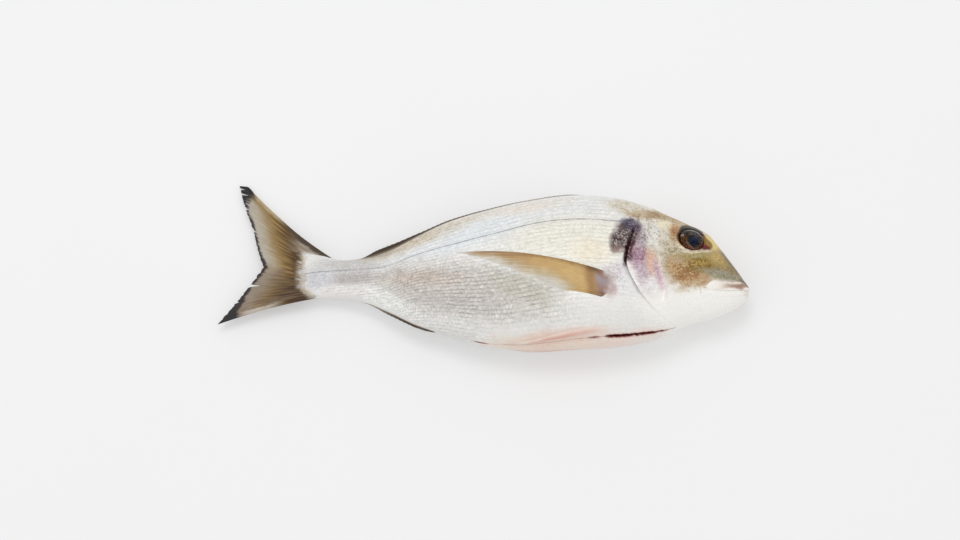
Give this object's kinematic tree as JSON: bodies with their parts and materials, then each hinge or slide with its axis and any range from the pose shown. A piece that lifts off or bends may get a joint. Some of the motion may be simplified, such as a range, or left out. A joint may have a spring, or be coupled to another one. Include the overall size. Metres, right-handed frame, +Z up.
{
  "type": "whole raw fish",
  "caption": "Whole raw sea bream, gutted through a slit in the belly, lying on its left side with its fins folded back and its forked tail spread.",
  "frame": {"origin": "middle of the bounding box on the surface that the fish lies on", "axes": "+X towards the head, +Y towards the back, +Z up, out of the right flank that shows"},
  "size_m": [0.3294, 0.1182, 0.0431],
  "materials": {
    "skin": "wet silver scaled skin, olive and bronze on the head, dark at the shoulder",
    "fins": "moist translucent olive-brown fin web with darker rays and black margins",
    "eye": "clear glossy cornea over a dark iris and a blue-black pupil"
  },
  "bodies": {
    "root": {"fish": "skin", "eye_right": "eye", "eye_left": "eye"}
  },
  "joints": []
}
